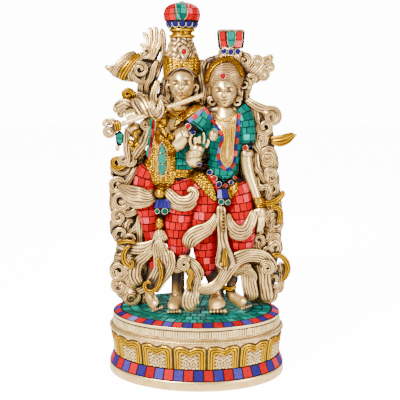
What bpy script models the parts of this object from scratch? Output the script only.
"""Radha and Krishna in cast brass, before a wall of scrollwork, on an oval plinth with stone borders.

Metres, +Z up, the front faces -Y. The origin is the middle of the plinth's flat underside.
The plinth, the stone rings and the paving have sizes of their own. The two figures and their scrollwork
are one casting, drawn as shares of its own height.
"""

import math

import bmesh
import bpy
from mathutils import Vector

# Driving sizes of the plinth, from the underside up
PLINTH_WIDTH = 0.2408
PLINTH_DEPTH = 0.162
FOOT_HEIGHT = 0.014
LOWER_BAND_HEIGHT = 0.0155
FRIEZE_HEIGHT = 0.0345
TORUS_HEIGHT = 0.0065
COLLAR_HEIGHT = 0.0179
RIM_DROP = 0.0036
FOOT_FLARE = 0.0070
FRIEZE_FLARE = 0.0064
FRIEZE_WAIST = 0.0008
TORUS_BULGE = 0.0062
COLLAR_FLARE = 0.0016
PETALS = 14
PETAL_RELIEF = 0.0018
PETAL_STEPS = 6
FIRST_PETAL_JOINT = math.radians(-81)

# Stone inlay
STONE_THICKNESS = 0.0016
RIM_STONE_WIDTH = 0.0105
PAVING_THICKNESS = 0.0018
SEAT_GAP = 0.0003

# The casting above the plinth
GROUP_HEIGHT = 0.4279
GROUP_TRIANGLES = 5200
CASTING_GRAIN = 0.0021

PLINTH_HEIGHT = (
    FOOT_HEIGHT + LOWER_BAND_HEIGHT + FRIEZE_HEIGHT + TORUS_HEIGHT + COLLAR_HEIGHT + RIM_DROP
)
DECK_LEVEL = PLINTH_HEIGHT
SEGMENTS = PETALS * PETAL_STEPS

# The drawing that the casting is set out from: a front sheet of 400 squares a side, seen by an eye
# in front of the statue. A sheet place and a depth in millimetres fix a point of the casting.
SHEET_MIDDLE = 200
SHEET_DISTANCE = 700
EYE = Vector((57.3, -978.3, 417.5))
EYE_TURN = math.radians(3.02)
EYE_TILT = math.radians(9.72)
DRAWN_DECK = 92.0
DRAWN_TOP = (181, 3.5, 0)

bpy_objects = bpy.data.objects
for old in list(bpy_objects):
    bpy_objects.remove(old, do_unlink=True)


def collection(name):
    made = bpy.data.collections.new(name)
    bpy.context.scene.collection.children.link(made)
    return made


STATUE = collection("radha_krishna_statue")
CUTTERS = collection("cutters")


def material(name, colour, roughness, metallic):
    made = bpy.data.materials.new(name)
    made.use_nodes = True
    shader = made.node_tree.nodes["Principled BSDF"]
    shader.inputs["Base Color"].default_value = (*colour, 1)
    shader.inputs["Roughness"].default_value = roughness
    shader.inputs["Metallic"].default_value = metallic
    return made


def add_mesh(name, mesh, finish=None, home=STATUE):
    made = bpy_objects.new(name, mesh)
    home.objects.link(made)
    if finish:
        mesh.materials.append(finish)
    return made


def evaluated_mesh(obj):
    bpy.context.view_layer.update()
    graph = bpy.context.evaluated_depsgraph_get()
    return bpy.data.meshes.new_from_object(obj.evaluated_get(graph))


# Oval lofts: the plinth and its stone rings


def even_angles():
    """The angles of the plinth's stations, which share the rim's length evenly from a petal joint on."""
    fine = 7200
    angles = [FIRST_PETAL_JOINT + math.tau * step / fine for step in range(fine + 1)]
    places = [Vector((PLINTH_WIDTH * math.cos(angle), PLINTH_DEPTH * math.sin(angle))) for angle in angles]
    run = [0]
    for place, after in zip(places, places[1:]):
        run.append(run[-1] + (after - place).length)
    stations = []
    for angle, length in zip(angles, run):
        if len(stations) < SEGMENTS and length >= run[-1] * len(stations) / SEGMENTS:
            stations.append(angle)
    return stations


def oval_point(spread, angle, level):
    """A point on the oval that stands `spread` outside the plinth's rim."""
    across = PLINTH_WIDTH / 2 + spread
    deep = PLINTH_DEPTH / 2 + spread
    return Vector((across * math.cos(angle), deep * math.sin(angle), level))


def oval_loft(name, rings, finish, ring_shape=False):
    """A closed loft through ovals. Each ring is (spread, level) or (spread, level, relief)."""
    shape = bmesh.new()
    angles = even_angles()
    loops = []
    for ring in rings:
        spread, level = ring[:2]
        relief = ring[2] if len(ring) > 2 else 0
        loop = []
        for step in range(SEGMENTS):
            lift = relief * petal_height(step)
            loop.append(shape.verts.new(oval_point(spread + lift, angles[step], level)))
        loops.append(loop)
    pairs = list(zip(loops, loops[1:]))
    if ring_shape:
        pairs.append((loops[-1], loops[0]))
    for lower, upper in pairs:
        for step in range(SEGMENTS):
            after = (step + 1) % SEGMENTS
            shape.faces.new((lower[step], lower[after], upper[after], upper[step]))
    if not ring_shape:
        shape.faces.new(reversed(loops[0]))
        shape.faces.new(loops[-1])
    bmesh.ops.recalc_face_normals(shape, faces=shape.faces)
    mesh = bpy.data.meshes.new(name)
    shape.to_mesh(mesh)
    shape.free()
    return add_mesh(name, mesh, finish)


def petal_height(step):
    """How far a petal frame of the frieze stands out: 0 in the joint between two, 1 across the frame."""
    return 0 if step % PETAL_STEPS == 0 else 1


BRASS = material("antique_brass", (0.62, 0.52, 0.36), 0.38, 0.85)
CORAL_LAPIS = material("coral_and_lapis", (0.62, 0.07, 0.09), 0.45, 0.0)
TURQUOISE = material("turquoise", (0.02, 0.42, 0.34), 0.5, 0.0)


def build_plinth():
    """The oval brass plinth, with a sloping seat for each stone ring and a shallow bed for the paving."""
    foot_top = FOOT_HEIGHT
    band_top = foot_top + LOWER_BAND_HEIGHT
    frieze_top = band_top + FRIEZE_HEIGHT
    torus_top = frieze_top + TORUS_HEIGHT
    collar_top = torus_top + COLLAR_HEIGHT
    seat = STONE_THICKNESS + SEAT_GAP
    bed = PAVING_THICKNESS + SEAT_GAP
    petal = PETAL_RELIEF
    rings = [
        (FOOT_FLARE - 0.0015, 0),
        (FOOT_FLARE + 0.0005, 0.003),
        (FOOT_FLARE, foot_top - SEAT_GAP),
        (FOOT_FLARE - seat, foot_top),
        (FRIEZE_WAIST - seat, band_top),
        (FRIEZE_WAIST, band_top + SEAT_GAP),
        (FRIEZE_WAIST - petal, band_top + 0.002, petal),
        (FRIEZE_FLARE - 2 * petal, frieze_top - 0.009, petal),
        (FRIEZE_FLARE - petal, frieze_top - 0.003, petal),
        (FRIEZE_FLARE - petal, frieze_top),
        (TORUS_BULGE, frieze_top + TORUS_HEIGHT * 0.3),
        (TORUS_BULGE - 0.0006, frieze_top + TORUS_HEIGHT * 0.8),
        (COLLAR_FLARE, torus_top),
        (0, collar_top - SEAT_GAP),
        (-SEAT_GAP, collar_top - seat),
        (-RIM_STONE_WIDTH - SEAT_GAP, collar_top + RIM_DROP - seat),
        (-RIM_STONE_WIDTH - SEAT_GAP, collar_top + RIM_DROP - bed),
    ]
    return oval_loft("plinth", rings, BRASS)


def build_lower_band():
    """Coral and lapis blocks set edge to edge round the plinth's waist, one ring in mastic."""
    bottom = FOOT_HEIGHT + SEAT_GAP
    top = FOOT_HEIGHT + LOWER_BAND_HEIGHT - SEAT_GAP
    thick = STONE_THICKNESS
    rings = [
        (FOOT_FLARE - thick, bottom),
        (FOOT_FLARE, bottom),
        (FRIEZE_WAIST, top),
        (FRIEZE_WAIST - thick, top),
    ]
    return oval_loft("lower_stone_border", rings, CORAL_LAPIS, ring_shape=True)


def build_rim_band():
    """The sloping coral and lapis ring round the deck."""
    outer = PLINTH_HEIGHT - RIM_DROP
    inner_edge = -RIM_STONE_WIDTH
    thick = STONE_THICKNESS
    rings = [
        (-SEAT_GAP, outer - thick),
        (-SEAT_GAP, outer),
        (inner_edge, PLINTH_HEIGHT),
        (inner_edge, PLINTH_HEIGHT - thick),
    ]
    return oval_loft("rim_stone_border", rings, CORAL_LAPIS, ring_shape=True)


def build_paving():
    """The turquoise floor inside the rim ring, a flat slab of chips in mastic."""
    edge = -RIM_STONE_WIDTH - SEAT_GAP - SEAT_GAP
    rings = [(edge, DECK_LEVEL - PAVING_THICKNESS), (edge, DECK_LEVEL)]
    return oval_loft("turquoise_paving", rings, TURQUOISE)


# The casting: strokes and balls drawn on the front sheet


def sheet_point(across, down, depth):
    """The point in millimetres, as drawn, at a sheet place and a depth behind the plinth's middle."""
    right = Vector((math.cos(EYE_TURN), math.sin(EYE_TURN), 0))
    ahead = Vector((-math.sin(EYE_TURN), math.cos(EYE_TURN), 0))
    up = Vector((0, 0, 1))
    forward = ahead * math.cos(EYE_TILT) - up * math.sin(EYE_TILT)
    upward = ahead * math.sin(EYE_TILT) + up * math.cos(EYE_TILT)
    line = forward * SHEET_DISTANCE + right * (across - SHEET_MIDDLE) + upward * (SHEET_MIDDLE - down)
    return EYE + line * ((depth - EYE.y) / line.y)


DRAWN_HEIGHT = sheet_point(*DRAWN_TOP).z - DRAWN_DECK
GROUP_SCALE = GROUP_HEIGHT / DRAWN_HEIGHT


def cast_point(across, down, depth):
    """The same point in metres, standing on the deck."""
    drawn = sheet_point(across, down, depth)
    drawn.z -= DRAWN_DECK
    return drawn * GROUP_SCALE + Vector((0, 0, DECK_LEVEL))


def stroke(points):
    """A round limb or scroll through (across, down, depth, radius in millimetres), as a mesh."""
    curve = bpy.data.curves.new("stroke", "CURVE")
    curve.dimensions = "3D"
    curve.resolution_u = 5
    curve.bevel_depth = GROUP_SCALE
    curve.bevel_resolution = 6
    curve.use_fill_caps = True
    spline = curve.splines.new("BEZIER")
    spline.bezier_points.add(len(points) - 1)
    for place, (across, down, depth, radius) in zip(spline.bezier_points, points):
        place.co = cast_point(across, down, depth)
        place.radius = radius
        place.handle_left_type = place.handle_right_type = "AUTO"
    holder = bpy_objects.new("stroke", curve)
    CUTTERS.objects.link(holder)
    mesh = evaluated_mesh(holder)
    bpy_objects.remove(holder)
    return mesh


def ball(across, down, depth, wide, deep, high):
    """An ellipsoid of half-sizes wide, deep and high in millimetres, as a mesh."""
    shape = bmesh.new()
    bmesh.ops.create_uvsphere(shape, u_segments=20, v_segments=14, radius=GROUP_SCALE)
    bmesh.ops.scale(shape, vec=(wide, deep, high), verts=shape.verts)
    bmesh.ops.translate(shape, vec=cast_point(across, down, depth), verts=shape.verts)
    mesh = bpy.data.meshes.new("ball")
    shape.to_mesh(mesh)
    shape.free()
    return mesh


KRISHNA = {
    "crown": [(181.2, 2.6, 0, 13), (181.2, 5, 0, 20), (181.2, 10, -1, 25), (181.2, 17, -1, 25.5),
              (181.5, 23, -2, 22.5), (181.7, 28, -2, 18), (181.8, 33, -3, 16), (181.5, 38, -3, 17),
              (181.5, 44, -4, 20), (181.8, 52, -6, 24), (182.0, 61, -6, 26.5), (182.0, 70, -4, 24), (182, 80, 0, 20)],
    "neck": [(182, 84, -4, 14), (182, 97, -4, 10), (181, 106, -4, 12)],
    "hair_right": [(168, 66, 4, 9), (165, 80, 5, 10), (164, 92, 6, 11), (163, 105, 6, 12)],
    "hair_left": [(197, 66, 4, 9), (199, 80, 5, 10), (201, 94, 6, 11), (202, 106, 6, 12)],
    "chest": [(184, 108, -4, 17), (178, 118, -5, 23), (170, 132, -5, 22), (164, 150, -6, 19), (163, 168, -8, 21),
              (165, 184, -8, 24)],
    "left_sleeve": [(203, 113, -18, 13), (197, 121, -26, 15), (190, 131, -31, 14)],
    "left_arm": [(190, 131, -31, 12), (181, 137, -34, 13), (173, 143, -35, 12), (168, 141, -36, 10), (164, 131, -36, 8),
                 (160, 122, -36, 8), (157, 112, -34, 9), (157, 101, -32, 6)],
    "right_arm": [(162, 112, 2, 12), (150, 124, -2, 11), (143, 134, -8, 10), (136, 131, -18, 8), (133, 122, -24, 8),
                  (131, 112, -24, 6)],
    "flute": [(206, 95, -24, 3.2), (176, 104.5, -34, 3.2), (145, 116.5, -34, 3.2), (116, 126, -34, 3.6)],
    "flute_tassel": [(120, 125, -34, 5), (111, 127, -34, 6.5), (104, 125, -34, 5.5)],
    "right_leg": [(156, 168, -6, 16), (147, 178, -8, 18), (147, 200, -10, 18), (150, 222, -10, 15), (153, 240, -12, 11),
                  (155, 262, -12, 9), (154, 280, -14, 8), (149, 291, -18, 8), (152, 301, -24, 7)],
    "right_foot": [(148, 293, -14, 7), (154, 304, -22, 8), (158, 306, -30, 6)],
    "left_leg": [(178, 176, -8, 21), (182, 192, -10, 23), (181, 214, -12, 22), (181, 236, -14, 20), (181, 250, -14, 14),
                 (179, 264, -13, 10), (176, 280, -10, 8), (176, 296, -10, 9)],
    "left_foot": [(177, 298, -8, 8), (175, 306, -24, 10), (173, 311, -34, 8)],
    "pendant": [(163, 145, -28, 6), (162, 160, -30, 9), (162, 176, -32, 9), (162, 190, -34, 9), (162, 203, -36, 12),
                (161, 214, -36, 9), (160, 228, -34, 7), (160, 238, -34, 6)],
    "waist_scarf_right": [(122, 188, -18, 4), (124, 196, -24, 9), (133, 201, -28, 11), (146, 198, -30, 10), (158, 189, -30, 6)],
    "waist_scarf_left": [(166, 189, -30, 6), (172, 200, -31, 9), (184, 203, -32, 10), (194, 198, -32, 9), (194, 190, -31, 7),
                         (186, 188, -31, 5)],
}

RADHA = {
    "neck": [(223, 94, -8, 13), (224, 106, -8, 9), (225, 113, -8, 11)],
    "crown_right_panel": [(222, 30.5, 4, 6.5), (223.5, 42, 2, 6.5), (225, 56, 0, 8)],
    "crown_middle_panel": [(231, 30, 3, 8.5), (231, 42, 1, 8.5), (230, 56, 0, 13), (227, 68, -4, 21), (225, 80, -3, 20)],
    "crown_left_panel": [(240.3, 30.5, 4, 6.5), (239, 42, 2, 6.5), (237, 56, 0, 8)],
    "hair_right": [(210, 70, 0, 10), (207, 84, 4, 10), (207, 98, 6, 9)],
    "hair_left": [(239, 72, 0, 10), (244, 84, 2, 10), (243, 98, 2, 9)],
    "shoulders": [(206, 114, -8, 12), (226, 114, -6, 15), (245, 115, -6, 12)],
    "chest": [(226, 118, -8, 20), (226, 136, -9, 26), (224, 152, -8, 24), (223, 168, -8, 21), (222, 184, -8, 24)],
    "left_arm": [(245, 115, -8, 12), (249, 130, -9, 13), (248, 145, -11, 12), (248, 153, -12, 9), (250, 170, -14, 9.5),
                 (255, 187, -16, 8), (258, 200, -17, 6.5), (260, 212, -17, 7), (259, 222, -17, 6), (257, 231, -17, 3)],
    "right_arm": [(207, 115, -10, 13), (200, 136, -16, 14), (190, 160, -22, 12), (187, 166, -27, 10), (190, 156, -35, 8),
                  (194, 147, -38, 9), (197, 137, -40, 7), (202, 132, -41, 4)],
    "bud": [(205, 139, -40, 5), (212, 135, -42, 8), (217, 133, -42, 5)],
    "right_leg": [(208, 182, -8, 22), (205, 198, -13, 25), (206, 216, -12, 23), (206, 240, -8, 18), (207, 260, -6, 17),
                  (209, 276, -6, 12), (214, 290, -8, 8), (216, 298, -10, 8)],
    "right_foot": [(215, 298, -12, 9), (217, 304, -24, 10), (218, 309, -34, 9)],
    "left_leg": [(234, 186, -8, 21), (240, 203, -10, 19), (243, 222, -9, 18), (243, 242, -6, 17), (239, 262, -4, 14),
                 (233, 279, -2, 9), (229, 290, -2, 8)],
    "left_foot": [(228, 292, -2, 8), (236, 297, -12, 9), (245, 303, -22, 8)],
    "sash": [(218, 196, -33, 8), (220, 206, -34, 9), (222, 220, -34, 9), (223, 232, -34, 9), (224, 246, -35, 8),
             (225, 260, -36, 12), (226, 268, -36, 7)],
    "hip_scarf_right": [(221, 224, -34, 9), (208, 229, -34, 10), (196, 234, -33, 11), (190, 243, -32, 7)],
    "hip_scarf_left": [(226, 226, -34, 9), (236, 230, -33, 11), (246, 225, -31, 10), (250, 212, -28, 8), (246, 202, -26, 6)],
    "swag": [(194, 289, -36, 7), (206, 288, -38, 8), (216, 285, -39, 8), (223, 277, -39, 8), (231, 268, -38, 9),
             (240, 260, -36, 11), (252, 257, -33, 12), (264, 257, -28, 11), (274, 263, -24, 10), (278, 276, -22, 8),
             (274, 288, -20, 6)],
    "curls": [(262, 262, -24, 9), (264, 276, -20, 8), (268, 290, -14, 7)],
}

DRAPERY = {
    "hem_middle": [(160, 240, -34, 7), (163, 254, -34, 12), (166, 268, -34, 13), (160, 281, -33, 10), (149, 287, -30, 7),
                   (146, 280, -28, 5)],
    "hem_right": [(158, 246, -33, 8), (145, 252, -30, 11), (131, 250, -27, 10), (122, 246, -24, 6)],
    "hem_curl": [(126, 246, -26, 6), (124, 256, -26, 5), (129, 265, -26, 5)],
    "knot": [(168, 262, -36, 9), (178, 262, -38, 11), (188, 264, -39, 12), (196, 272, -39, 9), (198, 284, -38, 7)],
    "knot_curl": [(182, 268, -39, 10), (183, 279, -40, 9), (186, 288, -40, 7)],
    "fallen_end": [(188, 282, -40, 7), (189, 293, -42, 12), (192, 303, -43, 13), (194, 309, -44, 9)],
}

SCROLLWORK = {
    "wall_right": [(160, 92, 16, 10), (152, 108, 18, 12), (148, 128, 18, 10), (138, 146, 20, 10), (132, 164, 20, 16),
                   (128, 184, 20, 20), (127, 206, 20, 21), (128, 228, 20, 21), (130, 250, 20, 20), (131, 272, 18, 20),
                   (131, 290, 18, 22), (132, 304, 18, 22)],
    "wall_right_inner": [(152, 150, 18, 9), (146, 172, 18, 14), (145, 200, 18, 16), (143, 230, 18, 16), (142, 262, 18, 14),
                         (143, 304, 17, 13)],
    "wall_left": [(205, 60, 16, 12), (206, 84, 18, 14), (225, 100, 18, 16), (246, 106, 16, 14), (258, 120, 16, 16),
                  (264, 138, 16, 18), (264, 158, 16, 18), (268, 180, 16, 19), (270, 202, 16, 20), (270, 224, 16, 20),
                  (270, 246, 14, 19), (266, 266, 12, 18), (264, 284, 12, 18), (264, 305, 12, 18)],
    "wall_left_inner": [(244, 108, 16, 10), (252, 150, 16, 10), (254, 190, 14, 14), (256, 230, 14, 14), (254, 262, 12, 12),
                        (252, 285, 12, 11), (254, 305, 12, 11)],
    "behind_heads": [(164, 96, 18, 10), (184, 98, 20, 14), (206, 100, 20, 14), (228, 104, 18, 14)],
    "behind_arms": [(186, 136, 4, 15), (196, 158, 6, 17), (206, 178, 6, 18)],
    "behind_shoulder": [(152, 118, 12, 10), (143, 134, 12, 10), (140, 152, 12, 11), (140, 168, 12, 13)],
    "behind_waists": [(150, 180, 18, 14), (180, 176, 22, 16), (212, 176, 22, 16), (246, 180, 18, 14)],
    "mantle_behind_krishna": [(180, 230, 6, 18), (181, 250, 8, 14), (181, 270, 8, 9), (181, 306, 8, 9)],
    "veil_behind_radha": [(216, 230, 6, 22), (216, 255, 8, 18), (216, 280, 8, 15), (217, 306, 8, 15)],
    "bird_stem": [(150, 102, 16, 11), (146, 92, 14, 10), (146, 82, 12, 9), (151, 72, 10, 12), (155, 60, 8, 11)],
    "bird_plumes": [(155, 62, 8, 11), (159, 48, 8, 9), (160, 36, 8, 8), (153, 30, 6, 8), (144, 36, 5, 6)],
    "bird_plumes_low": [(158, 58, 6, 9), (152, 46, 4, 9), (145, 42, 3, 7), (143, 50, 2, 6)],
    "bird_wing": [(152, 62, 4, 11), (140, 65, 2, 18), (128, 70, 3, 17), (117, 70, 6, 12), (110, 67, 8, 6), (103.5, 64.5, 9, 3)],
    "bird_wing_tip": [(138, 60, 2, 9), (128, 74, 3, 12), (122, 79, 4, 7)],
    "shoulder_curl": [(150, 100, 8, 9), (138, 97, 2, 8), (129, 92, -2, 7), (125, 94, -4, 5)],
    "shoulder_scroll": [(146, 106, -4, 9), (134, 104, -10, 10), (122, 104, -14, 10), (116, 108, -16, 7)],
    "hand_scroll": [(152, 100, -20, 7), (152, 112, -28, 8), (158, 118, -32, 6)],
    "tassel_right": [(136, 130, -18, 5), (136, 140, -18, 6), (134, 148, -16, 5)],
    "flute_drop": [(119, 128, -34, 4), (119.5, 138, -32, 7), (117.5, 150, -31, 4)],
    "side_bulge_1": [(130, 160, 14, 8), (118, 160, 10, 6), (113, 168, 10, 6), (113, 178, 10, 8)],
    "side_bulge_2": [(128, 188, 10, 12), (116, 190, 8, 9), (112, 200, 8, 8), (116, 212, 8, 10), (128, 216, 8, 12)],
    "side_bulge_3": [(130, 226, 6, 12), (116, 222, 8, 8), (113, 232, 8, 8), (122, 242, 6, 9)],
    "side_bulge_4": [(126, 252, 4, 12), (114, 264, 8, 8), (114, 276, 8, 8), (120, 288, 8, 10), (140, 292, 4, 12)],
    "corner_fan": [(246, 84, 6, 9), (254, 76, 8, 8), (262, 66, 10, 7), (270, 62, 10, 7), (273, 69, 9, 5), (267, 73, 8, 6)],
    "corner_loop": [(238, 64, 6, 8), (246, 58, 8, 8), (252, 64, 8, 8), (247, 74, 6, 9)],
    "corner_bud": [(243, 88, 2, 8), (246, 96, 6, 8)],
    "sleeve_leaf": [(252, 106, 6, 9), (266, 112, 4, 9), (277, 118, 4, 8), (279, 126, 4, 7)],
    "gold_leaf": [(268, 142, 4, 8), (280, 142, 2, 9), (291, 138, 2, 6), (297, 133.5, 2, 2.5)],
    "left_bulge_1": [(262, 146, 4, 12), (272, 154, 6, 10), (276, 166, 8, 9), (270, 174, 4, 9)],
    "left_bulge_2": [(262, 182, 2, 12), (274, 180, 6, 9), (279, 190, 8, 7), (270, 196, 2, 8)],
    "left_bulge_3": [(264, 204, -4, 9), (276, 198, -2, 7), (282, 194, -2, 6), (280, 208, 0, 7), (282, 222, 2, 7),
                     (274, 228, 0, 9)],
    "left_bulge_4": [(262, 232, 2, 12), (276, 238, 4, 10), (281, 248, 6, 8), (274, 254, 0, 10)],
}

BALLS = {
    "krishna_head": (182, 84.5, -8, 17.2, 21, 24),
    "krishna_hips": (166, 178, -6, 36, 24, 20),
    "radha_head": (223.6, 90, -11, 16.2, 20, 25),
    "radha_hips": (222, 190, -7, 37, 26, 20),
    "radha_bun": (246, 84, 4, 9, 9, 11),
}


def largest_body(mesh):
    """Keeps the outer skin of a remeshed casting and drops the skins of sealed pockets inside it."""
    shape = bmesh.new()
    shape.from_mesh(mesh)
    left = set(shape.verts)
    bodies = []
    while left:
        front = [left.pop()]
        body = set(front)
        while front:
            for edge in front.pop().link_edges:
                for vert in edge.verts:
                    if vert in left:
                        left.discard(vert)
                        body.add(vert)
                        front.append(vert)
        bodies.append(body)
    keep = max(bodies, key=len)
    bmesh.ops.delete(shape, geom=[v for v in shape.verts if v not in keep], context="VERTS")
    shape.to_mesh(mesh)
    shape.free()
    return mesh


def build_group():
    """Joins every stroke and ball into one skin, thins it, and cuts the soles flat on the paving."""
    strokes = [stroke(points) for figure in (KRISHNA, RADHA, DRAPERY, SCROLLWORK) for points in figure.values()]
    balls = [ball(*sizes) for sizes in BALLS.values()]
    joined = bmesh.new()
    for mesh in strokes + balls:
        joined.from_mesh(mesh)
        bpy.data.meshes.remove(mesh)
    rough = bpy.data.meshes.new("rough_casting")
    joined.to_mesh(rough)
    joined.free()
    casting = add_mesh("rough_casting", rough, home=CUTTERS)
    skin = casting.modifiers.new("skin", "REMESH")
    skin.mode = "VOXEL"
    skin.voxel_size = CASTING_GRAIN
    soften = casting.modifiers.new("soften", "SMOOTH")
    soften.factor = 0.5
    soften.iterations = 2
    fine = largest_body(evaluated_mesh(casting))
    bpy_objects.remove(casting)
    group = add_mesh("radha_krishna_group", fine, BRASS)
    thin = group.modifiers.new("thin", "DECIMATE")
    thin.ratio = GROUP_TRIANGLES / (2 * len(fine.polygons))
    cut_below_deck(group)
    return group


def cut_below_deck(group):
    """Cuts the casting flat just above the paving."""
    floor_size = 2 * PLINTH_WIDTH
    bpy.ops.mesh.primitive_cube_add(size=1)
    floor = bpy.context.object
    floor.name = "deck_cutter"
    floor.scale = (floor_size, floor_size, PLINTH_HEIGHT)
    floor.location = (0, 0, DECK_LEVEL + SEAT_GAP - PLINTH_HEIGHT / 2)
    for home in list(floor.users_collection):
        home.objects.unlink(floor)
    CUTTERS.objects.link(floor)
    floor.display_type = "WIRE"
    floor.hide_render = True
    cut = group.modifiers.new("flat_soles", "BOOLEAN")
    cut.operation = "DIFFERENCE"
    cut.object = floor


build_plinth()
build_lower_band()
build_rim_band()
build_paving()
build_group()
